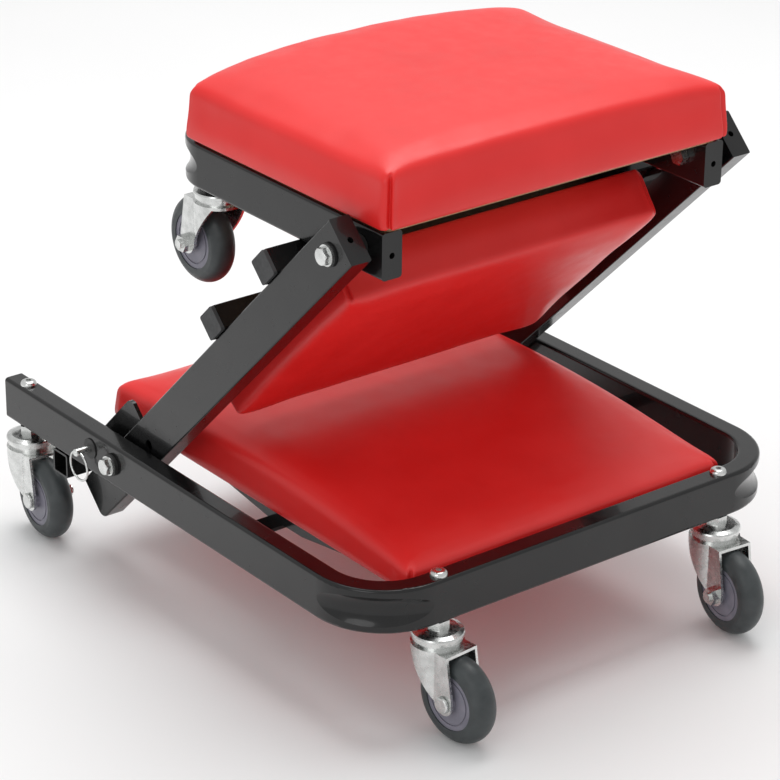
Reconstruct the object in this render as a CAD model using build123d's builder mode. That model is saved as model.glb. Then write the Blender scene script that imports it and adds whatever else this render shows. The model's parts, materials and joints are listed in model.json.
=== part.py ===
from build123d import *
import os
from math import cos, radians, sin, sqrt

os.makedirs("parts", exist_ok=True)

# A folding creeper that stands as a low seat. Millimetres, +Z up, the floor is Z = 0.
# +X points to the closed end of the base frame, Y = 0 is the mid-plane.

# ---------- driving dimensions ----------
tube_height = 38.1
tube_width = 19.05
tube_wall = 1.8
tube_round = 3.0

wheel_radius = 37.5
axle_drop = 61.0  # underside of a rail down to the axle
swivel_trail = 24.5
rail_bottom = axle_drop + wheel_radius
rail_top = rail_bottom + tube_height

base_length = 524.0
base_half = 224.75
base_bend = 65.0
open_end = -288.0
closed_end = open_end + base_length

pivot_depth = 18.0  # pivots below the top of the rails
arm_angle = 45.0
arm_reach = 390.0  # between the two pivots
lower_x = open_end + 170.5
lower_z = rail_top - pivot_depth
upper_x = lower_x + arm_reach * cos(radians(arm_angle))
upper_z = lower_z + arm_reach * sin(radians(arm_angle))

arm_outer = 203.5
arm_inner = arm_outer - tube_width
arm_height = 40.0
arm_round = 1.5
arm_tail = 92.5
arm_nose = 19.5

seat_half = 173.7
seat_bend = 52.0
seat_front = upper_x + 26.0
seat_back = open_end + 178.4
seat_top = upper_z + 17.0
seat_bottom = seat_top - tube_height

bar = 22.2  # square crossbar
bar_wall = 1.8
bar_round = 2.0

pad_board = 10.0
base_pad_half = 169.0
middle_pad_half = 163.0
seat_pad_half = 175.0

lock_radius = 33.0
lock_rise = 2.4  # the plungers sit this far above the lower pivots
pin_radius = 4.5
stem_radius = 4.0
pivot_bolt_radius = 4.0
fit = 0.05  # radial clearance of a running fit
gap = 0.3  # clear distance between neighbours that move apart
diagonal_share = cos(radians(45.0))


def save(piece, name):
    piece.part.label = name
    export_step(piece.part, "parts/" + name + ".step")


def side_plane(x, y, z):
    """A plane that faces -Y, its X along +X and its Y up."""
    return Plane((x, y, z), x_dir=(1, 0, 0), z_dir=(0, -1, 0))


def arm_plane(y):
    """Faces -Y at the lower pivot. X runs up the arm, Y points to the arm's back."""
    up = radians(arm_angle)
    return Plane((lower_x, y, lower_z), x_dir=(cos(up), 0, sin(up)), z_dir=(0, -1, 0))


def arm_face(offset):
    """A plane square to the arm's back. X runs up the arm, Y along +Y."""
    up = radians(arm_angle)
    back = (-sin(up), 0, cos(up))
    origin = (lower_x + back[0] * offset, 0, lower_z + back[2] * offset)
    return Plane(origin, x_dir=(cos(up), 0, sin(up)), z_dir=back)


def along_arm(distance):
    """The point on the arm's centre line at this distance from the lower pivot."""
    up = radians(arm_angle)
    return lower_x + distance * cos(up), lower_z + distance * sin(up)


# ---------- frames bent from rectangular tube ----------
dent_shift = 20.0  # the dent's own centre lies this far behind the bend's
dent_radius = 20.0
dent_sweep = 84.0  # degrees


def bent_core(path_points, bend, middle_z, section_plane, shrink):
    with BuildPart() as core:
        with BuildLine(Plane.XY.offset(middle_z)) as path:
            FilletPolyline(*path_points, radius=bend - tube_width / 2)
        with BuildSketch(section_plane):
            RectangleRounded(tube_width - 2 * shrink, tube_height - 2 * shrink, tube_round - shrink / 2)
        sweep(path=path.line)
    return core


def bend_dents(x_center, half_center, outward, bend, middle_z, extra):
    """The crushed outside of both bends, as parts of a fat ring about a shifted centre."""
    shift = dent_shift * diagonal_share
    reach = sqrt(bend**2 + dent_shift**2 + 2 * bend * shift)
    x_axis = x_center - outward * shift
    with BuildPart() as dents:
        for side in (1, -1):
            y_axis = side * (half_center - shift)
            start = radians(side * (90.0 - outward * 45.0) - dent_sweep / 2)
            spoke = (cos(start), sin(start), 0)
            across = (sin(start), -cos(start), 0)
            with BuildSketch(Plane((x_axis, y_axis, middle_z), x_dir=spoke, z_dir=across)):
                with Locations((reach + dent_radius, 0)):
                    Circle(dent_radius + extra)
            revolve(axis=Axis((x_axis, y_axis, middle_z), (0, 0, 1)), revolution_arc=dent_sweep)
    return dents


# Base frame: a U lying flat, open towards -X.
rail_middle = rail_bottom + tube_height / 2
base_line = base_half - tube_width / 2
base_points = [
    (open_end, base_line),
    (closed_end - tube_width / 2, base_line),
    (closed_end - tube_width / 2, -base_line),
    (open_end, -base_line),
]
front_stem_x = closed_end - tube_width / 2
front_stem_y = 148.3
rear_stem_x = open_end + 24.0
base_stems = [
    (front_stem_x, -front_stem_y),
    (front_stem_x, front_stem_y),
    (rear_stem_x, -base_line),
    (rear_stem_x, base_line),
]
pin_x = lower_x - lock_radius
pin_z = lower_z + lock_rise
screw_clearance = stem_radius + 0.3
barrel_radius = 6.5

base_section = Plane((open_end, base_line, rail_middle), x_dir=(0, 1, 0), z_dir=(1, 0, 0))
base_center = (closed_end - base_bend, base_half - base_bend)
base_core = bent_core(base_points, base_bend, rail_middle, base_section, tube_wall)
base_core_dents = bend_dents(base_center[0], base_center[1], 1, base_bend, rail_middle, tube_wall)
base_dents = bend_dents(base_center[0], base_center[1], 1, base_bend, rail_middle, 0.0)

with BuildPart() as base_frame:
    with BuildLine(Plane.XY.offset(rail_middle)) as base_path:
        FilletPolyline(*base_points, radius=base_bend - tube_width / 2)
    with BuildSketch(base_section):
        RectangleRounded(tube_width, tube_height, tube_round)
    sweep(path=base_path.line)
    add(base_dents.part, mode=Mode.SUBTRACT)
    add(base_core.part - base_core_dents.part, mode=Mode.SUBTRACT)
    with BuildSketch(Plane.XY.offset(rail_bottom)):
        with Locations(*base_stems):
            Circle(screw_clearance)
    extrude(amount=tube_height, mode=Mode.SUBTRACT)
    with BuildSketch(side_plane(0, 0, lower_z)):
        with Locations((lower_x, 0)):
            Circle(pivot_bolt_radius + fit)
        with Locations((pin_x, lock_rise)):
            Circle(barrel_radius)
    extrude(amount=base_half + 1, both=True, mode=Mode.SUBTRACT)
save(base_frame, "base_frame")

# A square crossbar welded under the open ends of the rails, and a flat one near the middle.
rear_bar_x = open_end + 98.7 - bar / 2
rear_bar_z = rail_bottom - bar / 2
strap_x = open_end + 305.0
strap_width = 21.0
strap_sheet = 3.0
strap_half = base_half - 8.0
pad_screw_radius = 2.4
base_screw_y = 140.0

with BuildPart() as rear_crossbar:
    with BuildSketch(side_plane(rear_bar_x, 0, rear_bar_z)):
        RectangleRounded(bar, bar, bar_round)
        RectangleRounded(bar - 2 * bar_wall, bar - 2 * bar_wall, bar_round - 1.0, mode=Mode.SUBTRACT)
    extrude(amount=base_half, both=True)
save(rear_crossbar, "rear_crossbar")

with BuildPart() as middle_crossbar:
    with BuildSketch(Plane.XY.offset(rail_bottom)):
        with Locations((strap_x, 0)):
            Rectangle(strap_width, 2 * strap_half)
    extrude(amount=-strap_sheet)
save(middle_crossbar, "middle_crossbar")

# Hat-shaped brackets that carry the base pad, their sides lower towards both ends.
bracket_height = 19.1
bracket_half = 12.5
bracket_sheet = 2.0
bracket_top = rail_bottom + bracket_height
rear_bracket_end = open_end + 140.0
front_bracket_start = open_end + 238.0
front_bracket_end = open_end + 398.0
bracket_spans = [(rear_bar_x - bar / 2, rear_bracket_end), (front_bracket_start, front_bracket_end)]
bracket_tapers = [  # from a bracket's end to where its sides reach their full height
    (rear_bracket_end, rear_bar_x + bar / 2),
    (front_bracket_start, open_end + 294.0),
    (front_bracket_end, open_end + 342.0),
]
bracket_rise = 8.0  # of the lower edges, at a bracket's ends
base_screw_rows = [open_end + 106.0, open_end + 130.0, open_end + 260.0, open_end + 376.0]
base_screws = [(x, side * base_screw_y) for x in base_screw_rows for side in (-1, 1)]

with BuildPart() as base_pad_brackets:
    for start_x, end_x in bracket_spans:
        for side in (-1, 1):
            corner = (start_x, side * base_screw_y, rail_bottom)
            with BuildSketch(Plane(corner, x_dir=(0, 1, 0), z_dir=(1, 0, 0))):
                with BuildLine():
                    Polyline(
                        (-bracket_half, 0),
                        (-bracket_half, bracket_height),
                        (bracket_half, bracket_height),
                        (bracket_half, 0),
                        (bracket_half - bracket_sheet, 0),
                        (bracket_half - bracket_sheet, bracket_height - bracket_sheet),
                        (bracket_sheet - bracket_half, bracket_height - bracket_sheet),
                        (bracket_sheet - bracket_half, 0),
                        close=True,
                    )
                make_face()
            extrude(amount=end_x - start_x)
    with BuildSketch(side_plane(0, 0, rail_bottom)):
        for tip_x, flat_x in bracket_tapers:
            with BuildLine():
                Polyline((tip_x, 0), (flat_x, 0), (tip_x, bracket_rise), close=True)
            make_face()
    extrude(amount=base_half, both=True, mode=Mode.SUBTRACT)
    with BuildSketch(Plane.XY.offset(bracket_top)):
        with Locations(*base_screws):
            Circle(pad_screw_radius)
    extrude(amount=-bracket_sheet, mode=Mode.SUBTRACT)
save(base_pad_brackets, "base_pad_brackets")

# Base pad: plywood board under a padded cover that falls towards the closed end.
base_pad_back = open_end + 84.0
base_pad_front = open_end + 501.0
board_inset = 6.0  # from the cover's outside to the board's edge
board_corner = 12.0
base_board_middle = (base_pad_back + base_pad_front) / 2
base_board_length = base_pad_front - base_pad_back - 2 * board_inset
base_board_width = 2 * (base_pad_half - board_inset)
screw_bite = 8.0

with BuildPart() as base_pad_board:
    with BuildSketch(Plane.XY.offset(bracket_top)):
        with Locations((base_board_middle, 0)):
            RectangleRounded(base_board_length, base_board_width, board_corner)
    extrude(amount=pad_board)
    with BuildSketch(Plane.XY.offset(bracket_top)):
        with Locations(*base_screws):
            Circle(pad_screw_radius)
    extrude(amount=screw_bite, mode=Mode.SUBTRACT)
save(base_pad_board, "base_pad_board")

base_pad_back_z = rail_top + 15.0
base_pad_high_z = rail_top + 24.0
base_pad_front_z = rail_top + 3.0
pad_fillet = 7.0
pad_corner = 8.0

with BuildPart() as base_pad_cushion:
    with BuildSketch(side_plane(0, 0, 0)):
        with BuildLine():
            back_top = (base_pad_back, base_pad_back_z)
            front_top = (base_pad_front, base_pad_front_z)
            Polyline(back_top, (base_pad_back, bracket_top), (base_pad_front, bracket_top), front_top)
            ThreePointArc(back_top, (base_board_middle, base_pad_high_z), front_top)
        make_face()
    extrude(amount=base_pad_half, both=True)
    top_edges = base_pad_cushion.edges().filter_by(lambda edge: edge.bounding_box().min.Z > bracket_top + 1)
    fillet(top_edges, pad_fillet)
    with BuildSketch(Plane.XY.offset(bracket_top)):
        with Locations((base_board_middle, 0)):
            RectangleRounded(base_board_length, base_board_width, board_corner)
    extrude(amount=pad_board, mode=Mode.SUBTRACT)
save(base_pad_cushion, "base_pad_cushion")


pan_radius = 4.6
pan_height = 2.6


def pan_screws(places, head_z, shank_top):
    """Pan-head screws driven upwards: heads below head_z, shanks up to shank_top."""
    with BuildPart() as screws:
        with BuildSketch(Plane.XY.offset(head_z)):
            with Locations(*places):
                Circle(pan_radius)
        extrude(amount=-pan_height)
        fillet(screws.edges().group_by(Axis.Z)[0], pan_height / 2)
        with BuildSketch(Plane.XY.offset(head_z)):
            with Locations(*places):
                Circle(pad_screw_radius)
        extrude(amount=shank_top - head_z)
    return screws


base_screw_heads = bracket_top - bracket_sheet
base_pad_screws = pan_screws(base_screws, base_screw_heads, bracket_top + screw_bite)
save(base_pad_screws, "base_pad_screws")

# Button-head socket screws through the rails, down into the caster stems.
button_radius = 7.2
button_height = 4.2
socket_radius = 2.6
stem_grip = 14.0  # how far a screw reaches into its stem
with BuildPart() as caster_screws:
    with BuildSketch(Plane.XY.offset(rail_top)):
        with Locations(*base_stems):
            Circle(button_radius)
    extrude(amount=button_height)
    fillet(caster_screws.edges().group_by(Axis.Z)[-1], button_height - 0.6)
    with BuildSketch(Plane.XY.offset(rail_top + button_height)):
        with Locations(*base_stems):
            RegularPolygon(socket_radius, 6)
    extrude(amount=-socket_radius, mode=Mode.SUBTRACT)
    with BuildSketch(Plane.XY.offset(rail_top)):
        with Locations(*base_stems):
            Circle(stem_radius)
    extrude(amount=-(tube_height + stem_grip))
save(caster_screws, "base_caster_screws")

# ---------- casters ----------
stem_hex = 8.5
thread_play = 0.02
dome_radius = 21.5
dome_top = 7.0
dome_rim = 12.2
ring_top = dome_rim + gap
plate_top = 19.5
fork_sheet = 2.3
kingpin_radius = 5.0
kingpin_end = 25.5
kingpin_head = 7.5


def stems(places, mount_z, bore_depth):
    """Hex stem, upper race dome and kingpin of each caster, in one piece."""
    rim_z = mount_z - dome_rim
    head_z = mount_z - plate_top - fork_sheet - gap
    end_z = mount_z - kingpin_end
    with BuildPart() as stem:
        for x, y in places:
            with BuildSketch(side_plane(x, y, 0)):
                with BuildLine():
                    Polyline(
                        (0, mount_z - dome_top),
                        (10.0, mount_z - dome_top),
                        (17.0, mount_z - dome_top - 1.2),
                        (dome_radius - 0.6, rim_z + 2.4),
                        (dome_radius, rim_z + 1.2),
                        (dome_radius, rim_z),
                        (kingpin_radius, rim_z),
                        (kingpin_radius, head_z),
                        (kingpin_head, head_z),
                        (kingpin_head - 1.0, end_z),
                        (0, end_z),
                        close=True,
                    )
                make_face()
            revolve(axis=Axis((x, y, 0), (0, 0, 1)))
        with BuildSketch(Plane.XY.offset(mount_z - dome_top)):
            with Locations(*places):
                RegularPolygon(stem_hex, 6, major_radius=False, rotation=30)
        extrude(amount=dome_top)
        with BuildSketch(Plane.XY.offset(mount_z)):
            with Locations(*places):
                Circle(stem_radius + thread_play)
        extrude(amount=-bore_depth, mode=Mode.SUBTRACT)
    return stem


base_caster_stems = stems(base_stems, rail_bottom, stem_grip + 1.0)
save(base_caster_stems, "base_caster_stems")

leg_front = -13.0
leg_back = 27.0
leg_half = 16.5
boss_radius = 9.5
axle_radius = 4.0
tyre_half = 11.4
tyre_shoulder = 28.5
hub_radius = 24.0
hub_half = leg_half - fork_sheet - gap
axle_nut = 6.5
ring_height = 3.4
bush_radius = 7.0


def turned(x, y, mount_z, heading):
    """A caster's own plane at its mount: X points the way the wheel trails."""
    turn = radians(heading)
    return Plane((x, y, mount_z), x_dir=(cos(turn), sin(turn), 0), z_dir=(0, 0, 1))


def on(home, plane):
    """The plane as it lies when the world's own axes are laid on home."""
    return Plane(home.location * plane.location)


def plan_outline(inset, tail):
    """Top view of the fork: round about the kingpin, straight beside the wheel."""
    with BuildSketch() as plan:
        Circle(dome_radius - inset)
        with Locations(((leg_back + tail) / 2, 0)):
            Rectangle(leg_back + tail, 2 * (leg_half - inset))
    return plan.sketch


def caster(name, x, y, mount_z, heading, nut_side):
    home = turned(x, y, mount_z, heading)
    wheel_side = on(home, Plane.XZ)
    axle_z = -axle_drop

    with BuildPart() as fork:
        with BuildSketch(on(home, Plane.XY.offset(-plate_top))):
            add(plan_outline(0.0, 6.0))
        extrude(amount=-(axle_drop + boss_radius - plate_top))
        with BuildSketch(on(home, Plane.XY.offset(-plate_top - fork_sheet))):
            add(plan_outline(fork_sheet, 12.0))
        extrude(amount=-(axle_drop + boss_radius), mode=Mode.SUBTRACT)
        with BuildSketch(on(home, Plane.XZ.offset(30.0))):
            with BuildLine():
                boss_start = (swivel_trail - boss_radius * 0.94, axle_z - boss_radius * 0.34)
                boss_end = (swivel_trail + boss_radius, axle_z)
                Polyline((-30, -plate_top - fork_sheet), (-30, -plate_top), (leg_back, -plate_top), boss_end)
                ThreePointArc(boss_end, (swivel_trail, axle_z - boss_radius), boss_start)
                ThreePointArc(boss_start, (2.5, axle_z + 16.0), (leg_front, -plate_top - fork_sheet))
                Line((leg_front, -plate_top - fork_sheet), (-30, -plate_top - fork_sheet))
            make_face()
        extrude(amount=-60.0, mode=Mode.INTERSECT)
        with BuildSketch(on(home, Plane.XY.offset(-ring_top))):
            Circle(dome_radius - 1.0)
        extrude(amount=-ring_height)
        with BuildSketch(on(home, Plane.XY.offset(-ring_top - ring_height))):
            Circle(dome_radius - 3.0)
        extrude(amount=ring_top + ring_height - plate_top)
        with BuildSketch(on(home, Plane.XY)):
            Circle(kingpin_radius + fit)
        extrude(amount=-40.0, mode=Mode.SUBTRACT)
        with BuildSketch(wheel_side):
            with Locations((swivel_trail, axle_z)):
                Circle(axle_radius)
        extrude(amount=30.0, both=True, mode=Mode.SUBTRACT)
    save(fork, name + "_fork")

    head_plane = on(home, Plane.XZ.offset(nut_side * leg_half))
    nut_plane = on(home, Plane.XZ.offset(-nut_side * leg_half))
    with BuildPart() as axle:
        with BuildSketch(head_plane):
            with Locations((swivel_trail, axle_z)):
                Circle(7.0)
        extrude(amount=nut_side * 3.4)
        fillet(axle.edges().filter_by(GeomType.CIRCLE), 1.5)
        with BuildSketch(head_plane):
            with Locations((swivel_trail, axle_z)):
                Circle(axle_radius)
        extrude(amount=-nut_side * (2 * leg_half + axle_nut + 2.5))
        with BuildSketch(nut_plane):
            with Locations((swivel_trail, axle_z)):
                RegularPolygon(6.5, 6, major_radius=False)
        extrude(amount=-nut_side * axle_nut)
    save(axle, name + "_axle")

    with BuildPart() as hub:
        with BuildSketch(wheel_side):
            with Locations((swivel_trail, axle_z)):
                Circle(hub_radius)
        extrude(amount=tyre_half - 1.0, both=True)
        with BuildSketch(wheel_side):
            with Locations((swivel_trail, axle_z)):
                Circle(bush_radius)
        extrude(amount=hub_half, both=True)
        for side in (1, -1):
            with BuildSketch(on(home, Plane.XZ.offset(side * (tyre_half - 1.0)))):
                with Locations((swivel_trail, axle_z)):
                    Circle(20.0)
                    Circle(18.6, mode=Mode.SUBTRACT)
            extrude(amount=-side * 0.8, mode=Mode.SUBTRACT)
        with BuildSketch(wheel_side):
            with Locations((swivel_trail, axle_z)):
                Circle(axle_radius + fit)
        extrude(amount=20.0, both=True, mode=Mode.SUBTRACT)
    save(hub, name + "_wheel_hub")

    with BuildPart() as tyre:
        with BuildSketch(on(home, Plane.YZ.offset(swivel_trail))):
            with BuildLine():
                Polyline((-tyre_half, -axle_drop - hub_radius), (tyre_half, -axle_drop - hub_radius))
                Line((tyre_half, -axle_drop - hub_radius), (tyre_half, -axle_drop - tyre_shoulder))
                ThreePointArc(
                    (tyre_half, -axle_drop - tyre_shoulder),
                    (0, -axle_drop - wheel_radius),
                    (-tyre_half, -axle_drop - tyre_shoulder),
                )
                Line((-tyre_half, -axle_drop - tyre_shoulder), (-tyre_half, -axle_drop - hub_radius))
            make_face()
        center = home.from_local_coords(Vector(swivel_trail, 0, axle_z))
        revolve(axis=Axis(center, home.y_dir))
    save(tyre, name + "_tyre")


front_heading = 5.0
rear_heading = -4.0
caster("front_left_caster", front_stem_x, -front_stem_y, rail_bottom, front_heading, 1)
caster("front_right_caster", front_stem_x, front_stem_y, rail_bottom, -front_heading, -1)
caster("rear_left_caster", rear_stem_x, -base_line, rail_bottom, rear_heading, 1)
caster("rear_right_caster", rear_stem_x, base_line, rail_bottom, -rear_heading, -1)

seat_stem_x = open_end + 218.0
seat_stem_y = 143.5
caster("seat_left_caster", seat_stem_x, -seat_stem_y, seat_bottom, 180.0, 1)
caster("seat_right_caster", seat_stem_x, seat_stem_y, seat_bottom, 180.0, -1)

# ---------- lower pivots and lock plungers ----------
washer_outer = 9.7
lower_washer = 3.0
upper_washer = 1.75
bolt_head = 6.5
flange_radius = 8.6
flange_sheet = 1.6
hex_half = 6.5  # half the width across the flats
head_chamfer = 1.0


def mirrored_discs(x, z, near_y, far_y, radius, bore):
    """A ring on both sides of the object, from near_y out to far_y."""
    with BuildPart() as discs:
        for side in (-1, 1):
            with BuildSketch(Plane((x, side * near_y, z), x_dir=(1, 0, 0), z_dir=(0, side, 0))):
                Circle(radius)
                Circle(bore, mode=Mode.SUBTRACT)
            extrude(amount=far_y - near_y)
    return discs


def pivot_bolts(x, z, head_y, end_y):
    """Flanged hex bolts from outside, their heads rounded off to a chamfer."""
    with BuildPart() as bolts:
        for side in (-1, 1):
            start = Plane((x, side * end_y, z), x_dir=(1, 0, 0), z_dir=(0, side, 0))
            with BuildSketch(start):
                Circle(pivot_bolt_radius)
            extrude(amount=head_y - end_y)
            with BuildSketch(start.offset(head_y - end_y)):
                Circle(flange_radius)
            extrude(amount=flange_sheet)
            with BuildSketch(start.offset(head_y - end_y)):
                RegularPolygon(hex_half, 6, major_radius=False, rotation=15)
            extrude(amount=bolt_head)
            with BuildSketch(start.offset(head_y + bolt_head - head_chamfer - end_y)):
                Circle(2 * hex_half)
                Circle(hex_half + head_chamfer, mode=Mode.SUBTRACT)
            extrude(amount=head_chamfer, taper=-45, mode=Mode.SUBTRACT)
    return bolts


def pivot_nuts(x, z, near_y, thickness):
    with BuildPart() as nuts:
        for side in (-1, 1):
            with BuildSketch(Plane((x, side * near_y, z), x_dir=(1, 0, 0), z_dir=(0, side, 0))):
                RegularPolygon(hex_half, 6, major_radius=False)
                Circle(pivot_bolt_radius, mode=Mode.SUBTRACT)
            extrude(amount=thickness)
    return nuts


nut_thick = 6.5
lower_nut_y = arm_inner - gap - nut_thick
lower_pivot_bolts = pivot_bolts(lower_x, lower_z, base_half + lower_washer, lower_nut_y)
save(lower_pivot_bolts, "lower_pivot_bolts")
lower_pivot_nuts = pivot_nuts(lower_x, lower_z, lower_nut_y, nut_thick)
save(lower_pivot_nuts, "lower_pivot_nuts")
washer_bore = pivot_bolt_radius + fit
washer_far = base_half + lower_washer
base_inner = base_half - tube_width
with BuildPart() as lower_pivot_washers:
    for near_y, far_y in ((base_half, washer_far), (arm_outer + gap, base_inner)):
        add(mirrored_discs(lower_x, lower_z, near_y, far_y, washer_outer, washer_bore).part)
save(lower_pivot_washers, "lower_pivot_washers")

# The plungers are drawn parked: the pins clear of the arms, the springs pressed.
collar_radius = 9.0
collar_sheet = 1.0
head_wall = 2.5
chamber_radius = pin_radius + fit
collar_face = base_half + collar_sheet
chamber_end = collar_face - head_wall
rod_radius = 3.4
pin_length = 10.0
pin_tip = arm_outer + 0.7
pin_back = pin_tip + pin_length
rod_end = base_half + 16.0
eye_y = rod_end - 4.0
eye_radius = 1.6
ring_radius = 13.0
ring_wire = 1.0

with BuildPart() as lock_housings:
    for side in (-1, 1):
        face = Plane((pin_x, side * base_half, pin_z), x_dir=(1, 0, 0), z_dir=(0, side, 0))
        with BuildSketch(face):
            Circle(collar_radius)
        extrude(amount=collar_sheet)
        with BuildSketch(face):
            Circle(barrel_radius)
        extrude(amount=-tube_width)
        with BuildSketch(face.offset(collar_sheet - head_wall)):
            Circle(chamber_radius)
        extrude(amount=-tube_width, mode=Mode.SUBTRACT)
        with BuildSketch(face.offset(collar_sheet)):
            Circle(rod_radius + fit)
        extrude(amount=-2 * head_wall, mode=Mode.SUBTRACT)
save(lock_housings, "lock_housings")

spring_wire = 0.4
spring_turns = 4
spring_radius = 4.0
spring_end = 0.8  # from the seat to the middle of the last turn
spring_length = chamber_end - pin_back - 2 * spring_end

for side, side_name in ((-1, "left"), (1, "right")):
    outward = (0, side, 0)
    with BuildPart() as lock_pin:
        with BuildSketch(Plane((pin_x, side * pin_tip, pin_z), x_dir=(1, 0, 0), z_dir=outward)):
            Circle(pin_radius)
        extrude(amount=pin_length)
        chamfer(lock_pin.edges().group_by(Axis.Y)[0 if side > 0 else -1], 1.0)
        with BuildSketch(Plane((pin_x, side * pin_back, pin_z), x_dir=(1, 0, 0), z_dir=outward)):
            Circle(rod_radius)
        extrude(amount=rod_end - pin_back)
        chamfer(lock_pin.edges().group_by(Axis.Y)[-1 if side > 0 else 0], 0.8)
        with BuildSketch(Plane((pin_x, side * eye_y, pin_z), x_dir=(0, 1, 0), z_dir=(1, 0, 0))):
            Circle(eye_radius)
        extrude(amount=rod_radius + 1, both=True, mode=Mode.SUBTRACT)
    save(lock_pin, side_name + "_lock_pin")

    with BuildPart() as pull_ring:
        ring_center = (pin_x, side * eye_y, pin_z - ring_radius)
        with BuildSketch(Plane(ring_center, x_dir=(1, 0, 0), z_dir=(0, 0, 1))):
            with Locations((ring_radius, 0)):
                Circle(ring_wire)
        revolve(axis=Axis(ring_center, (0, 1, 0)))
    save(pull_ring, side_name + "_pull_ring")

with BuildPart() as lock_springs:
    for side in (-1, 1):
        start = (pin_x, side * (pin_back + spring_end), pin_z)
        pitch = spring_length / spring_turns
        with BuildLine() as coil:
            Helix(pitch, spring_length, spring_radius, center=start, direction=(0, side, 0))
        with BuildSketch(Plane(coil.line @ 0, z_dir=coil.line % 0)):
            Circle(spring_wire)
        sweep(path=coil.line, is_frenet=True)
save(lock_springs, "lock_springs")

# ---------- middle section ----------
end_plate = 3.0
vent_radius = 2.5
nose = arm_reach + arm_nose
half_arm = arm_height / 2
tail_corner = 8.0
lock_rest = ((lock_rise - lock_radius) * diagonal_share, (lock_rise + lock_radius) * diagonal_share)
lock_flat = (lock_radius, -lock_rise)
bar_lower = 206.3
bar_upper = 307.6
arm_bars = (bar_lower, bar_upper)


def arm_outline():
    """An arm about its lower pivot, the tail's front corner rounded off."""
    with BuildSketch() as outline:
        with Locations(((nose - arm_tail) / 2, 0)):
            Rectangle(nose + arm_tail, arm_height)
        tail_front = outline.vertices().sort_by(lambda vertex: vertex.X + vertex.Y)[0]
        fillet(tail_front, tail_corner)
    return outline.sketch


for side, side_name in ((-1, "left"), (1, "right")):
    outer_plane = arm_plane(side * arm_outer)
    middle_plane = arm_plane(side * (arm_outer - tube_width / 2))
    with BuildPart() as arm:
        with BuildSketch(middle_plane):
            add(arm_outline())
        extrude(amount=tube_width / 2, both=True)
        fillet(arm.edges().filter_by(Axis((0, 0, 0), outer_plane.x_dir)), arm_round)
        # hollow, open at the tail, closed by a plate at the nose
        with BuildSketch(middle_plane):
            with Locations(((nose - end_plate) / 2 - arm_tail, 0)):
                Rectangle(nose - end_plate + 2 * arm_tail, arm_height - 2 * tube_wall)
        extrude(amount=tube_width / 2 - tube_wall, both=True, mode=Mode.SUBTRACT)
        with BuildSketch(outer_plane):
            Circle(pivot_bolt_radius + fit)
            with Locations((arm_reach, 0)):
                Circle(pivot_bolt_radius)
        extrude(amount=side * tube_width, mode=Mode.SUBTRACT)
        with BuildSketch(outer_plane):
            with Locations(lock_flat):
                Circle(pin_radius + fit)
        extrude(amount=side * 2 * tube_wall, mode=Mode.SUBTRACT)
        tip_x, tip_z = along_arm(nose)
        tip_middle = (tip_x, side * (arm_outer - tube_width / 2), tip_z)
        with BuildSketch(Plane(tip_middle, x_dir=(0, 1, 0), z_dir=outer_plane.x_dir)):
            Circle(vent_radius)
        extrude(amount=-end_plate - 1.0, mode=Mode.SUBTRACT)
    save(arm, side_name + "_arm")

# Lock plates: flat tabs on the arms' backs, each with the hole that takes a pin at rest.
tab_outer = arm_outer - 3.0
tab_sheet = 3.5
tab_start = -46.0
tab_end = 33.0
tab_top = 41.5
tab_corner = 7.0

with BuildPart() as lock_plates:
    for side in (-1, 1):
        with BuildSketch(arm_plane(side * tab_outer)) as tab:
            with BuildLine():
                Polyline(
                    (tab_start, half_arm),
                    (tab_start, tab_top),
                    (tab_end, tab_top),
                    (tab_end, half_arm),
                    close=True,
                )
            make_face()
            fillet(tab.vertices().group_by(Axis.Y)[-1], tab_corner)
            with Locations(lock_rest):
                Circle(pin_radius + fit, mode=Mode.SUBTRACT)
        extrude(amount=side * tab_sheet)
save(lock_plates, "lock_plates")

arm_screw_y = 110.0
screw_shank = bar + screw_bite
for bar_name, bar_s in (("lower_arm_crossbar", bar_lower), ("upper_arm_crossbar", bar_upper)):
    with BuildPart() as crossbar:
        bar_plane = arm_plane(0)
        with BuildSketch(bar_plane):
            with Locations((bar_s, half_arm + bar / 2)):
                RectangleRounded(bar, bar, bar_round)
                RectangleRounded(bar - 2 * bar_wall, bar - 2 * bar_wall, bar_round - 1.0, mode=Mode.SUBTRACT)
        extrude(amount=arm_outer, both=True)
        with BuildSketch(arm_face(half_arm)):
            with Locations((bar_s, -arm_screw_y), (bar_s, arm_screw_y)):
                Circle(pad_screw_radius)
        extrude(amount=bar, mode=Mode.SUBTRACT)
    save(crossbar, bar_name)

cap_flange = 3.2
cap_plug = 12.0
with BuildPart() as crossbar_end_caps:
    for side in (-1, 1):
        for bar_s in arm_bars:
            with BuildSketch(arm_plane(side * arm_outer)):
                with Locations((bar_s, half_arm + bar / 2)):
                    RectangleRounded(bar - 0.4, bar - 0.4, bar_round)
            extrude(amount=-side * cap_flange)
            with BuildSketch(arm_plane(side * arm_outer)):
                with Locations((bar_s, half_arm + bar / 2)):
                    RectangleRounded(bar - 2 * bar_wall - 0.1, bar - 2 * bar_wall - 0.1, 1.0)
            extrude(amount=side * cap_plug)
save(crossbar_end_caps, "crossbar_end_caps")

# Middle pad, on the front of the arm crossbars and between the arms.
middle_start = 107.0
middle_end = 328.0
middle_pad_thick = half_arm + 25.0  # its face stands proud of the arms' middle line
arm_screws = [(bar_s, side * arm_screw_y) for bar_s in arm_bars for side in (-1, 1)]
middle_center = (middle_start + middle_end) / 2
middle_length = middle_end - middle_start
middle_width = 2 * middle_pad_half

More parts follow.
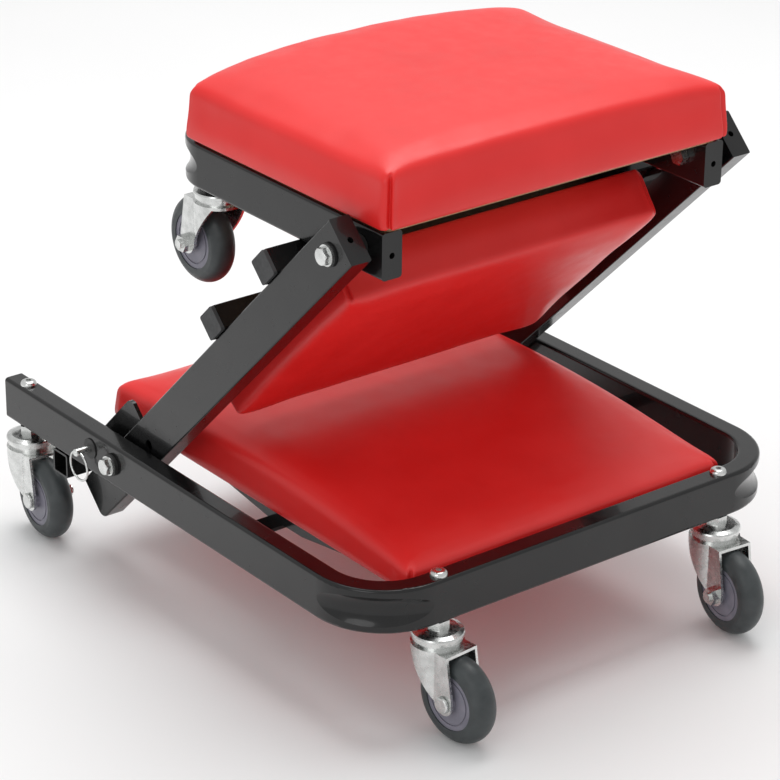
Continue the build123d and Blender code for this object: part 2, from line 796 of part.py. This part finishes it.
with BuildPart() as middle_pad_board:
    with BuildSketch(arm_face(half_arm)):
        with Locations((middle_center, 0)):
            RectangleRounded(middle_length - 2 * board_inset, middle_width - 2 * board_inset, board_corner)
    extrude(amount=-pad_board)
    with BuildSketch(arm_face(half_arm)):
        with Locations(*arm_screws):
            Circle(pad_screw_radius)
    extrude(amount=-screw_bite, mode=Mode.SUBTRACT)
save(middle_pad_board, "middle_pad_board")

with BuildPart() as middle_pad_cushion:
    with BuildSketch(arm_face(half_arm)):
        with Locations((middle_center, 0)):
            RectangleRounded(middle_length, middle_width, pad_corner)
    extrude(amount=-middle_pad_thick)
    fillet(middle_pad_cushion.faces().sort_by(Axis.X)[-1].edges(), pad_fillet)
    with BuildSketch(arm_face(half_arm)):
        with Locations((middle_center, 0)):
            RectangleRounded(middle_length - 2 * board_inset, middle_width - 2 * board_inset, board_corner)
    extrude(amount=-pad_board, mode=Mode.SUBTRACT)
save(middle_pad_cushion, "middle_pad_cushion")

with BuildPart() as middle_pad_screws:
    with BuildSketch(arm_face(half_arm + bar)):
        with Locations(*arm_screws):
            Circle(pan_radius)
    extrude(amount=pan_height)
    with BuildSketch(arm_face(half_arm + bar)):
        with Locations(*arm_screws):
            Circle(pad_screw_radius)
    extrude(amount=-screw_shank)
save(middle_pad_screws, "middle_pad_screws")

# Upper pivots: the bolts turn with the arms, the seat rails turn on them.
spacer_near = seat_half + gap
upper_nut_y = seat_half - tube_width - gap - nut_thick
upper_pivot_bolts = pivot_bolts(upper_x, upper_z, arm_outer + upper_washer, upper_nut_y)
save(upper_pivot_bolts, "upper_pivot_bolts")
upper_pivot_nuts = pivot_nuts(upper_x, upper_z, upper_nut_y, nut_thick)
save(upper_pivot_nuts, "upper_pivot_nuts")
with BuildPart() as upper_pivot_spacers:
    for near_y, far_y in ((spacer_near, arm_inner), (arm_outer, arm_outer + upper_washer)):
        add(mirrored_discs(upper_x, upper_z, near_y, far_y, washer_outer, pivot_bolt_radius).part)
save(upper_pivot_spacers, "upper_pivot_spacers")

# ---------- seat ----------
seat_middle = seat_bottom + tube_height / 2
seat_line = seat_half - tube_width / 2
seat_points = [
    (seat_front, seat_line),
    (seat_back + tube_width / 2, seat_line),
    (seat_back + tube_width / 2, -seat_line),
    (seat_front, -seat_line),
]
seat_section = Plane((seat_front, seat_line, seat_middle), x_dir=(0, 1, 0), z_dir=(-1, 0, 0))
seat_center = (seat_back + seat_bend, seat_half - seat_bend)
seat_core = bent_core(seat_points, seat_bend, seat_middle, seat_section, tube_wall)
seat_core_dents = bend_dents(seat_center[0], seat_center[1], -1, seat_bend, seat_middle, tube_wall)
seat_dents = bend_dents(seat_center[0], seat_center[1], -1, seat_bend, seat_middle, 0.0)
seat_screw_rows = [seat_front - 60.0, seat_back + 100.0]
seat_screws = [(x, side * seat_line) for x in seat_screw_rows for side in (-1, 1)]

with BuildPart() as seat_frame:
    with BuildLine(Plane.XY.offset(seat_middle)) as seat_path:
        FilletPolyline(*seat_points, radius=seat_bend - tube_width / 2)
    with BuildSketch(seat_section):
        RectangleRounded(tube_width, tube_height, tube_round)
    sweep(path=seat_path.line)
    add(seat_dents.part, mode=Mode.SUBTRACT)
    add(seat_core.part - seat_core_dents.part, mode=Mode.SUBTRACT)
    # plates that close the front ends, each with a small vent hole
    for side in (-1, 1):
        plate_middle = (seat_front - end_plate, side * seat_line, seat_middle)
        with BuildSketch(Plane(plate_middle, x_dir=(0, 1, 0), z_dir=(1, 0, 0))):
            RectangleRounded(tube_width - 1.0, tube_height - 1.0, tube_round - 0.5)
            Circle(vent_radius, mode=Mode.SUBTRACT)
        extrude(amount=end_plate)
    with BuildSketch(side_plane(upper_x, 0, upper_z)):
        Circle(pivot_bolt_radius + fit)
    extrude(amount=seat_half + 1, both=True, mode=Mode.SUBTRACT)
    with BuildSketch(Plane.XY.offset(seat_bottom)):
        with Locations(*seat_screws):
            Circle(pad_screw_radius)
    extrude(amount=tube_height, mode=Mode.SUBTRACT)
save(seat_frame, "seat_frame")

# Corner plates inside the bends carry the seat casters.
corner_sheet = 4.0
corner_reach = 26.0
weld_nut_half = 6.5
corner_radius = seat_bend - tube_width
corner_diagonal = corner_radius * diagonal_share
seat_stems = [(seat_stem_x, side * seat_stem_y) for side in (-1, 1)]

with BuildPart() as seat_caster_plates:
    for side in (-1, 1):
        with BuildSketch(Plane((seat_center[0], side * seat_center[1], seat_bottom))):
            with BuildLine():
                rail_end = (0, side * corner_radius)
                bend_middle = (-corner_diagonal, side * corner_diagonal)
                bend_end = (-corner_radius, 0)
                back_tip = (-corner_radius, -side * corner_reach)
                front_tip = (corner_reach, side * corner_radius)
                ThreePointArc(rail_end, bend_middle, bend_end)
                Polyline(bend_end, back_tip, front_tip, rail_end)
            make_face()
        extrude(amount=corner_sheet)
    with BuildSketch(Plane.XY.offset(seat_bottom + corner_sheet)):
        with Locations(*seat_stems):
            RegularPolygon(weld_nut_half, 6, major_radius=False)
    extrude(amount=weld_nut_half)
    with BuildSketch(Plane.XY.offset(seat_bottom)):
        with Locations(*seat_stems):
            Circle(stem_radius + fit)
    extrude(amount=corner_sheet + weld_nut_half, mode=Mode.SUBTRACT)
save(seat_caster_plates, "seat_caster_plates")

seat_stem_top = corner_sheet + weld_nut_half + 1.5
seat_caster_stems = stems(seat_stems, seat_bottom, 0.5)
with BuildPart() as seat_stem_bolts:
    add(seat_caster_stems.part)
    with BuildSketch(Plane.XY.offset(seat_bottom - 0.5)):
        with Locations(*seat_stems):
            Circle(stem_radius)
    extrude(amount=seat_stem_top + 0.5)
save(seat_stem_bolts, "seat_caster_stems")

# Seat pad: straight front edge, bowed back edge.
seat_pad_front = seat_front + 5.0
seat_pad_corner = open_end + 222.0
seat_pad_back = open_end + 190.0
seat_cushion_top = seat_top + 54.0


def seat_outline(inset):
    half = seat_pad_half - inset
    corner_x = seat_pad_corner + inset
    front_x = seat_pad_front - inset
    with BuildSketch() as outline:
        with BuildLine():
            ThreePointArc((corner_x, half), (seat_pad_back + inset, 0), (corner_x, -half))
            Polyline((corner_x, -half), (front_x, -half), (front_x, half), (corner_x, half))
        make_face()
        fillet(outline.vertices(), pad_corner)
    return outline.sketch


with BuildPart() as seat_pad_board_part:
    with BuildSketch(Plane.XY.offset(seat_top)):
        add(seat_outline(board_inset))
    extrude(amount=pad_board)
    with BuildSketch(Plane.XY.offset(seat_top)):
        with Locations(*seat_screws):
            Circle(pad_screw_radius)
    extrude(amount=screw_bite, mode=Mode.SUBTRACT)
save(seat_pad_board_part, "seat_pad_board")

with BuildPart() as seat_pad_cushion:
    with BuildSketch(Plane.XY.offset(seat_top)):
        add(seat_outline(0.0))
    extrude(amount=seat_cushion_top - seat_top)
    fillet(seat_pad_cushion.edges().group_by(Axis.Z)[-1], pad_fillet)
    with BuildSketch(Plane.XY.offset(seat_top)):
        add(seat_outline(board_inset))
    extrude(amount=pad_board, mode=Mode.SUBTRACT)
save(seat_pad_cushion, "seat_pad_cushion")

seat_pad_screws = pan_screws(seat_screws, seat_bottom, seat_top + screw_bite)
save(seat_pad_screws, "seat_pad_screws")
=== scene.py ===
import json
import math

import bmesh
import bpy
import numpy as np
from mathutils import Matrix, Vector


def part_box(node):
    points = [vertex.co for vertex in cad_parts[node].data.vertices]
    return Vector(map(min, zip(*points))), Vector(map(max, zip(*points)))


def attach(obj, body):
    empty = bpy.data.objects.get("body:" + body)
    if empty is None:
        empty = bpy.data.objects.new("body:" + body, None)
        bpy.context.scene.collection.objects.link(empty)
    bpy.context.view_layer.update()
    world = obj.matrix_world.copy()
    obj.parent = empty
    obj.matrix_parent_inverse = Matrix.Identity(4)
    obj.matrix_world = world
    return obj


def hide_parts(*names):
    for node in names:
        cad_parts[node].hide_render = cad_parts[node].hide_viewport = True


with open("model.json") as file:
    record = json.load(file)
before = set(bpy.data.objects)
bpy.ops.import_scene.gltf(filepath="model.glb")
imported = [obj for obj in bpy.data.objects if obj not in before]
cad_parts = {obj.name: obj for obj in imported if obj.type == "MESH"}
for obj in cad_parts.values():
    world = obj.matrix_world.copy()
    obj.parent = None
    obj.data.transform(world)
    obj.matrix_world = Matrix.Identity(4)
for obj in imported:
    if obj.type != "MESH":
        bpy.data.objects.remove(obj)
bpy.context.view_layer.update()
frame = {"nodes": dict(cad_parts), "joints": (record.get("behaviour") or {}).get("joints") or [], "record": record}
nodes = frame["nodes"]
joints = {joint["name"]: joint for joint in frame["joints"]}
scene = bpy.context.scene

MM = 0.001


# ---------- camera, floor and light ----------
CAMERA_AZIMUTH = 51.943
CAMERA_ELEVATION = 24.532
CAMERA_ROLL = 0.541
CAMERA_DISTANCE = 2.6749
CAMERA_TARGET = Vector((-0.0836, 0.0397, 0.1366))
LENS = 140.17
SENSOR = 36.0
SHIFT = (0.0068, -0.0122)
FLOOR_REACH = 9.0
WORLD_STRENGTH = 0.68


def make_camera():
    azimuth = math.radians(CAMERA_AZIMUTH)
    elevation = math.radians(CAMERA_ELEVATION)
    roll = math.radians(CAMERA_ROLL)
    level = math.cos(elevation)
    back = Vector((math.sin(azimuth) * level, -math.cos(azimuth) * level, math.sin(elevation)))
    right = Vector((math.cos(azimuth), math.sin(azimuth), 0))
    up = back.cross(right)
    x_axis = right * math.cos(roll) + up * math.sin(roll)
    y_axis = up * math.cos(roll) - right * math.sin(roll)
    data = bpy.data.cameras.new("camera")
    data.lens = LENS
    data.sensor_width = SENSOR
    data.shift_x, data.shift_y = SHIFT
    camera = bpy.data.objects.new("camera", data)
    scene.collection.objects.link(camera)
    turn = Matrix((x_axis, y_axis, back)).transposed().to_4x4()
    camera.matrix_world = Matrix.Translation(CAMERA_TARGET + back * CAMERA_DISTANCE) @ turn
    scene.camera = camera


def area_light(name, place, target, size, watts):
    data = bpy.data.lights.new(name, "AREA")
    data.shape = "DISK"
    data.size = size
    data.energy = watts
    light = bpy.data.objects.new(name, data)
    scene.collection.objects.link(light)
    light.location = place
    light.rotation_euler = (Vector(target) - Vector(place)).to_track_quat("-Z", "Y").to_euler()


def make_stage():
    mesh = bpy.data.meshes.new("floor")
    corners = [(x * FLOOR_REACH, y * FLOOR_REACH, 0) for x, y in ((-1, -1), (1, -1), (1, 1), (-1, 1))]
    mesh.from_pydata(corners, [], [(0, 1, 2, 3)])
    floor = bpy.data.objects.new("floor", mesh)
    scene.collection.objects.link(floor)
    floor.data.materials.append(floor_paper())
    world = bpy.data.worlds.new("studio")
    world.use_nodes = True
    background = world.node_tree.nodes["Background"]
    background.inputs["Color"].default_value = (1, 1, 1, 1)
    background.inputs["Strength"].default_value = WORLD_STRENGTH
    scene.world = world
    area_light("overhead", (-0.5, 0.5, 2.6), target=(0, 0, 0.2), size=2.2, watts=44)
    area_light("front_left", (1.2, -2.6, 1.8), target=(0, 0, 0.25), size=1.6, watts=10)
    scene.view_settings.view_transform = "Standard"


# ---------- materials ----------
class Finish:
    """A Principled material and short ways to add procedural detail to it, in object metres."""

    def __init__(self, name):
        self.material = bpy.data.materials.new(name)
        self.material.use_nodes = True
        self.tree = self.material.node_tree
        self.shader = self.tree.nodes["Principled BSDF"]
        self.place = self.tree.nodes.new("ShaderNodeTexCoord").outputs["Object"]

    def set(self, **values):
        for name, value in values.items():
            self.shader.inputs[name.replace("_", " ")].default_value = value
        return self

    def node(self, kind, **settings):
        made = self.tree.nodes.new(kind)
        for name, value in settings.items():
            setattr(made, name, value)
        return made

    def link(self, output, target):
        self.tree.links.new(output, target)

    def noise(self, per_metre, detail=3.0, stretch=(1, 1, 1)):
        scale = self.node("ShaderNodeMapping")
        scale.inputs["Scale"].default_value = stretch
        self.link(self.place, scale.inputs["Vector"])
        made = self.node("ShaderNodeTexNoise")
        made.inputs["Scale"].default_value = per_metre
        made.inputs["Detail"].default_value = detail
        self.link(scale.outputs["Vector"], made.inputs["Vector"])
        return made.outputs["Fac"]

    def cells(self, per_metre, feature="F1"):
        made = self.node("ShaderNodeTexVoronoi", feature=feature)
        made.inputs["Scale"].default_value = per_metre
        self.link(self.place, made.inputs["Vector"])
        return made.outputs["Distance"]

    def spread(self, output, low, high, near=0.3, far=0.7):
        made = self.node("ShaderNodeMapRange")
        made.inputs["From Min"].default_value = near
        made.inputs["From Max"].default_value = far
        made.inputs["To Min"].default_value = low
        made.inputs["To Max"].default_value = high
        self.link(output, made.inputs["Value"])
        return made.outputs["Result"]

    def colours(self, output, first, second, near=0.3, far=0.7):
        ramp = self.node("ShaderNodeValToRGB")
        ramp.color_ramp.elements[0].position = near
        ramp.color_ramp.elements[0].color = (*first, 1)
        ramp.color_ramp.elements[1].position = far
        ramp.color_ramp.elements[1].color = (*second, 1)
        self.link(output, ramp.inputs["Fac"])
        self.link(ramp.outputs["Color"], self.shader.inputs["Base Color"])
        return self

    def rough(self, output, low, high):
        self.link(self.spread(output, low, high), self.shader.inputs["Roughness"])
        return self

    def bumps(self, *layers):
        """Each layer is a height output, its height in metres and its strength."""
        last = None
        for height, distance, strength in layers:
            bump = self.node("ShaderNodeBump")
            bump.inputs["Distance"].default_value = distance
            bump.inputs["Strength"].default_value = strength
            self.link(height, bump.inputs["Height"])
            if last is not None:
                self.link(last, bump.inputs["Normal"])
            last = bump.outputs["Normal"]
        self.link(last, self.shader.inputs["Normal"])
        return self


def floor_paper():
    made = Finish("floor_paper").set(Roughness=0.75)
    made.colours(made.noise(2.0), (0.86, 0.86, 0.86), (0.88, 0.88, 0.88))
    return made.material


def red_vinyl():
    made = Finish("red_vinyl").set(Specular_IOR_Level=0.4, Coat_Weight=0.06, Coat_Roughness=0.3)
    made.colours(made.noise(14.0), (0.71, 0.016, 0.015), (0.78, 0.022, 0.021))
    made.rough(made.noise(60.0), 0.34, 0.44)
    grain = made.cells(1100.0)
    made.bumps((made.noise(35.0, 2.0), 0.0006, 0.25), (grain, 0.00012, 0.35))
    return made.material


def frame_paint():
    made = Finish("frame_paint").set(Specular_IOR_Level=0.28, Coat_Weight=0.35, Coat_Roughness=0.04)
    made.colours(made.noise(40.0), (0.004, 0.004, 0.0045), (0.008, 0.008, 0.008))
    made.rough(made.noise(90.0), 0.18, 0.28)
    made.bumps((made.noise(320.0, 2.0), 0.00008, 0.12))
    return made.material


def zinc_steel():
    made = Finish("zinc_steel").set(Metallic=1.0)
    made.colours(made.noise(120.0, 5.0), (0.56, 0.57, 0.56), (0.78, 0.79, 0.78))
    made.rough(made.noise(260.0, 4.0), 0.16, 0.34)
    made.bumps((made.noise(900.0, 2.0), 0.00004, 0.25))
    return made.material


def spring_steel():
    made = Finish("spring_steel").set(Metallic=1.0)
    made.colours(made.noise(300.0), (0.35, 0.35, 0.36), (0.55, 0.55, 0.56))
    made.rough(made.noise(500.0), 0.25, 0.4)
    return made.material


def black_washer():
    made = Finish("black_washer")
    made.colours(made.noise(200.0), (0.010, 0.010, 0.010), (0.025, 0.025, 0.025))
    made.rough(made.noise(400.0), 0.4, 0.6)
    made.bumps((made.noise(700.0), 0.00005, 0.3))
    return made.material


def cap_plastic():
    made = Finish("cap_plastic")
    made.colours(made.noise(80.0), (0.028, 0.029, 0.030), (0.045, 0.046, 0.048))
    made.rough(made.noise(300.0), 0.5, 0.68)
    made.bumps((made.noise(1400.0, 2.0), 0.0001, 0.35))
    return made.material


def hub_plastic():
    made = Finish("hub_plastic").set(Specular_IOR_Level=0.4)
    made.colours(made.noise(90.0), (0.17, 0.165, 0.205), (0.22, 0.21, 0.255))
    made.rough(made.noise(200.0), 0.34, 0.48)
    made.bumps((made.noise(1200.0, 2.0), 0.00005, 0.25))
    return made.material


def tyre_rubber():
    made = Finish("tyre_rubber").set(Specular_IOR_Level=0.5)
    made.colours(made.noise(70.0, 5.0), (0.030, 0.036, 0.038), (0.052, 0.060, 0.062))
    made.rough(made.noise(220.0, 4.0), 0.36, 0.52)
    made.bumps((made.noise(1000.0, 3.0), 0.00008, 0.3))
    return made.material


def plywood():
    made = Finish("plywood")
    grain = made.noise(30.0, 6.0, stretch=(1.5, 18.0, 60.0))
    made.colours(grain, (0.30, 0.17, 0.08), (0.56, 0.38, 0.21))
    made.rough(grain, 0.55, 0.75)
    made.bumps((grain, 0.0003, 0.3))
    return made.material


FINISHES = {
    finish.__name__: finish
    for finish in (
        red_vinyl,
        frame_paint,
        zinc_steel,
        spring_steel,
        black_washer,
        cap_plastic,
        hub_plastic,
        tyre_rubber,
        plywood,
    )
}
materials = {name: make() for name, make in FINISHES.items()}


def dress_cad_nodes():
    for row in frame["record"]["subparts"]:
        mesh = nodes[row["node"]].data
        mesh.materials.clear()
        mesh.materials.append(materials[row["material_slot"]])


# ---------- padded covers ----------
VOXEL = 4.5 * MM
FRAMES = 20
PRESSURE = 4.0
PAD_GROWTH = 1.0 * MM  # of a cover past the plain cushion it stands for
BOARD = 10 * MM  # the cover is held to the board's edge up to here
CORNER_STEPS = 6
EVEN_STEPS = 14  # passes that even out the cloth's wrinkles
TUCK_REACH = 26 * MM  # around a pad's upright corner
TUCK_BAND = 5 * MM  # to each side of the slit
TUCK_FADE = 9 * MM  # below the pad's top
SLIT_WIDTH = 1.5 * MM
ROLL_PLACE = 3.2 * MM  # from the slit to the rolled edge beside it
ROLL_WIDTH = 1.6 * MM
ROLL_SHARE = 0.25  # of the slit's depth


def rounded(corners, radius):
    """The outline with its corners rounded, as points, where corners run counter-clockwise."""
    points = []
    for i, corner in enumerate(corners):
        before = (corners[i - 1] - corner).normalized()
        after = (corners[(i + 1) % len(corners)] - corner).normalized()
        half = before.angle(after) / 2
        reach = radius / math.tan(half)
        middle = corner + (before + after).normalized() * (radius / math.sin(half))
        start = corner + before * reach - middle
        turn = math.pi - 2 * half
        for step in range(CORNER_STEPS + 1):
            angle = turn * step / CORNER_STEPS
            cosine, sine = math.cos(angle), math.sin(angle)
            points.append(
                middle + Vector((start.x * cosine - start.y * sine, start.x * sine + start.y * cosine))
            )
    return points


def inset(points, distance):
    """Every point moved inwards by the distance."""
    moved = []
    for i, point in enumerate(points):
        along = points[(i + 1) % len(points)] - points[i - 1]
        inwards = Vector((-along.y, along.x)).normalized()
        moved.append(point + inwards * distance)
    return moved


def padded_solid(name, outline, height, edge_radius):
    """A closed box on the outline, its upper edge rounded over edge_radius."""
    levels = [(0.0, 0.0)]
    for step in range(CORNER_STEPS + 1):
        angle = math.pi / 2 * step / CORNER_STEPS
        rise = height - edge_radius * (1 - math.sin(angle))
        levels.append((edge_radius * (1 - math.cos(angle)), rise))
    form = bmesh.new()
    rings = []
    for distance, rise in levels:
        ring = inset(outline, distance)
        rings.append([form.verts.new((point.x, point.y, rise)) for point in ring])
    count = len(outline)
    for lower, upper in zip(rings, rings[1:]):
        for i in range(count):
            j = (i + 1) % count
            form.faces.new((lower[i], lower[j], upper[j], upper[i]))
    form.faces.new(rings[-1])
    form.faces.new(reversed(rings[0]))
    mesh = bpy.data.meshes.new(name)
    form.to_mesh(mesh)
    form.free()
    return mesh


def bake(piece):
    """The piece's mesh with its modifiers applied."""
    graph = bpy.context.evaluated_depsgraph_get()
    mesh = bpy.data.meshes.new_from_object(piece.evaluated_get(graph))
    piece.modifiers.clear()
    piece.data = mesh


def evened(mesh, moves):
    """The vertices' moves, averaged with their neighbours' so that no wrinkle is left."""
    pairs = np.array([tuple(edge.vertices) for edge in mesh.edges])
    counts = np.bincount(pairs.ravel(), minlength=len(mesh.vertices))[:, None]
    for _ in range(EVEN_STEPS):
        sums = np.zeros_like(moves)
        np.add.at(sums, pairs[:, 0], moves[pairs[:, 1]])
        np.add.at(sums, pairs[:, 1], moves[pairs[:, 0]])
        moves = 0.5 * moves + 0.5 * sums / counts
    return moves


def inflate(piece, cap):
    """Cloth under pressure, held where it is pulled over the board, moved at most cap."""
    rest = [vertex.co.copy() for vertex in piece.data.vertices]
    held = piece.vertex_groups.new(name="held")
    held.add([i for i, co in enumerate(rest) if co.z < BOARD], 1.0, "REPLACE")
    cloth = piece.modifiers.new("cloth", "CLOTH")
    cloth.settings.quality = 6
    cloth.settings.use_pressure = True
    cloth.settings.uniform_pressure_force = PRESSURE
    cloth.settings.effector_weights.gravity = 0.0
    cloth.settings.vertex_group_mass = "held"
    cloth.point_cache.frame_end = FRAMES
    for step in range(1, FRAMES + 1):
        scene.frame_set(step)
    bake(piece)
    moves = []
    for vertex, start in zip(piece.data.vertices, rest):
        move = vertex.co - start
        moves.append(move.normalized() * cap * math.tanh(move.length / cap))
    moves = evened(piece.data, np.array(moves))
    for vertex, start, move in zip(piece.data.vertices, rest, moves):
        vertex.co = start + Vector(move)
    piece.vertex_groups.clear()
    scene.frame_set(1)


def refine(mesh, near):
    """Halves the edges whose two ends the test says are near a seam."""
    form = bmesh.new()
    form.from_mesh(mesh)
    edges = [edge for edge in form.edges if near(edge.verts[0].co) and near(edge.verts[1].co)]
    bmesh.ops.subdivide_edges(form, edges=edges, cuts=1, use_grid_fill=True)
    form.to_mesh(mesh)
    form.free()


def pleat(mesh, corner, outwards, top, shift, depth):
    """A tuck down one upright corner: a slit beside a rolled edge, fading at the top."""
    side = Vector((-outwards.y, outwards.x))

    def across(co):
        return (co.xy - corner).dot(side) - shift

    def near(co):
        return (co.xy - corner).length < TUCK_REACH and abs(across(co)) < TUCK_BAND and co.z > -MM

    for _ in range(2):
        refine(mesh, near)
    for vertex in mesh.vertices:
        if not near(vertex.co):
            continue
        share = min(1.0, max(0.0, (top - vertex.co.z) / TUCK_FADE))
        fade = share * share * (3 - 2 * share)
        away = across(vertex.co)
        groove = depth * math.exp(-((away / SLIT_WIDTH) ** 2))
        roll = ROLL_SHARE * depth * math.exp(-(((away - ROLL_PLACE) / ROLL_WIDTH) ** 2))
        vertex.co.xy -= outwards * (groove - roll) * fade


def corner_tucks(front, back, half, top, shift, depth):
    """Tucks down the four upright corners, as arguments for pleat."""
    diagonal = math.sqrt(0.5)
    tucks = []
    for side in (-1, 1):
        for x, end in ((front, 1), (back, -1)):
            outwards = Vector((end * diagonal, side * diagonal))
            tucks.append((Vector((x, side * half)), outwards, top, -end * side * shift, depth))
    return tucks


def cover(name, node, body, place, outline, height, edge_radius, cap, shape, tucks):
    mesh = padded_solid(name, outline, height, edge_radius)
    piece = bpy.data.objects.new(name, mesh)
    scene.collection.objects.link(piece)
    remesh = piece.modifiers.new("remesh", "REMESH")
    remesh.mode = "VOXEL"
    remesh.voxel_size = VOXEL
    smooth = piece.modifiers.new("smooth", "SMOOTH")
    smooth.iterations = 2
    bake(piece)
    inflate(piece, cap)
    divide = piece.modifiers.new("divide", "SUBSURF")
    divide.levels = 1
    bake(piece)
    for tuck in tucks:
        pleat(piece.data, *tuck)
    for vertex in piece.data.vertices:
        vertex.co = shape(vertex.co)
    piece.data.transform(place)
    piece.data.polygons.foreach_set("use_smooth", [True] * len(piece.data.polygons))
    piece.data.materials.clear()
    piece.data.materials.append(materials["red_vinyl"])
    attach(piece, body)
    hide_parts(node)


SEAT_BOW = 27 * MM  # how far the seat pad's back edge bows out
BOW_STEPS = 16
SEAT_LIFT = 3 * MM  # of the cover's lower edge above the seat frame
SEAT_FALL = 0.155  # how much lower the pad is at its two sides, as a share


def seat_cover():
    low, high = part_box("seat_pad_cushion")
    margin = -PAD_GROWTH
    half = high.y - margin
    front, back, corner = high.x - margin, low.x + margin, low.x + SEAT_BOW + margin
    bow = corner - back
    radius = (half * half + bow * bow) / (2 * bow)
    center = back + radius
    spread = math.asin(half / radius)
    corners = [Vector((front, half)), Vector((corner, half))]
    for step in range(1, BOW_STEPS):
        angle = spread * (1 - 2 * step / BOW_STEPS)
        corners.append(Vector((center - radius * math.cos(angle), radius * math.sin(angle))))
    corners += [Vector((corner, -half)), Vector((front, -half))]
    outline = rounded(corners, 7 * MM)
    height = high.z - low.z - 2.5 * MM

    def shape(co):
        side = min(1.0, abs(co.y) / half)
        co.z *= 1 - SEAT_FALL * side**4
        return co

    tucks = corner_tucks(front, corner, half, height, 2.5 * MM, 4 * MM)
    place = Matrix.Translation((0, 0, low.z + SEAT_LIFT))
    cover(
        "seat_pad_cover",
        "seat_pad_cushion",
        "seat",
        place,
        outline,
        height,
        edge_radius=7 * MM,
        cap=5 * MM,
        shape=shape,
        tucks=tucks,
    )


BASE_HEIGHT = 36 * MM  # of the cover while it is inflated, before it is shaped
BASE_BACK_RISE = 12 * MM  # of the pad's back edge above the rails
BASE_FRONT_RISE = 1 * MM
BASE_CROWN = 14 * MM


def base_cover():
    low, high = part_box("base_pad_cushion")
    margin = -PAD_GROWTH
    back, front, half = low.x + margin, high.x - margin, high.y - margin
    corners = [Vector((back, -half)), Vector((front, -half)), Vector((front, half)), Vector((back, half))]
    outline = rounded(corners, 10 * MM)
    rail_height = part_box("base_frame")[1].z - low.z
    back_height = rail_height + BASE_BACK_RISE
    front_height = rail_height + BASE_FRONT_RISE

    def shape(co):
        share = (co.x - back) / (front - back)
        crown = 4 * BASE_CROWN * share * (1 - share)
        level = back_height + (front_height - back_height) * share + crown
        co.z = co.z * level / BASE_HEIGHT if co.z > 0 else co.z
        return co

    tucks = corner_tucks(front, back, half, BASE_HEIGHT, 2 * MM, 3 * MM)
    place = Matrix.Translation((0, 0, low.z))
    cover(
        "base_pad_cover",
        "base_pad_cushion",
        "base",
        place,
        outline,
        BASE_HEIGHT,
        edge_radius=9 * MM,
        cap=5 * MM,
        shape=shape,
        tucks=tucks,
    )


def middle_cover():
    lower, upper = (Vector(joints[name]["pos_m"]) for name in ("middle_fold", "seat_fold"))
    up = (upper - lower).normalized()
    front = Vector((up.z, 0, -up.x))
    place = Matrix((up, front.cross(up), front)).transposed().to_4x4()
    corners = [vertex.co for vertex in nodes["middle_pad_cushion"].data.vertices]
    place.translation = lower + front * min((corner - lower).dot(front) for corner in corners)
    inverse = place.inverted()
    points = [inverse @ corner for corner in corners]
    margin = -PAD_GROWTH
    start, end = min(p.x for p in points) + margin, max(p.x for p in points) - margin
    half = max(p.y for p in points) - margin
    height = max(p.z for p in points) - 1.5 * MM
    corners = [Vector((start, -half)), Vector((end, -half)), Vector((end, half)), Vector((start, half))]
    outline = rounded(corners, 5 * MM)
    tucks = corner_tucks(end, start, half, height, 2 * MM, 3 * MM)
    cover(
        "middle_pad_cover",
        "middle_pad_cushion",
        "middle_section",
        place,
        outline,
        height,
        edge_radius=4 * MM,
        cap=4 * MM,
        shape=lambda co: co,
        tucks=tucks,
    )


seat_cover()
base_cover()
middle_cover()
make_camera()
make_stage()
dress_cad_nodes()
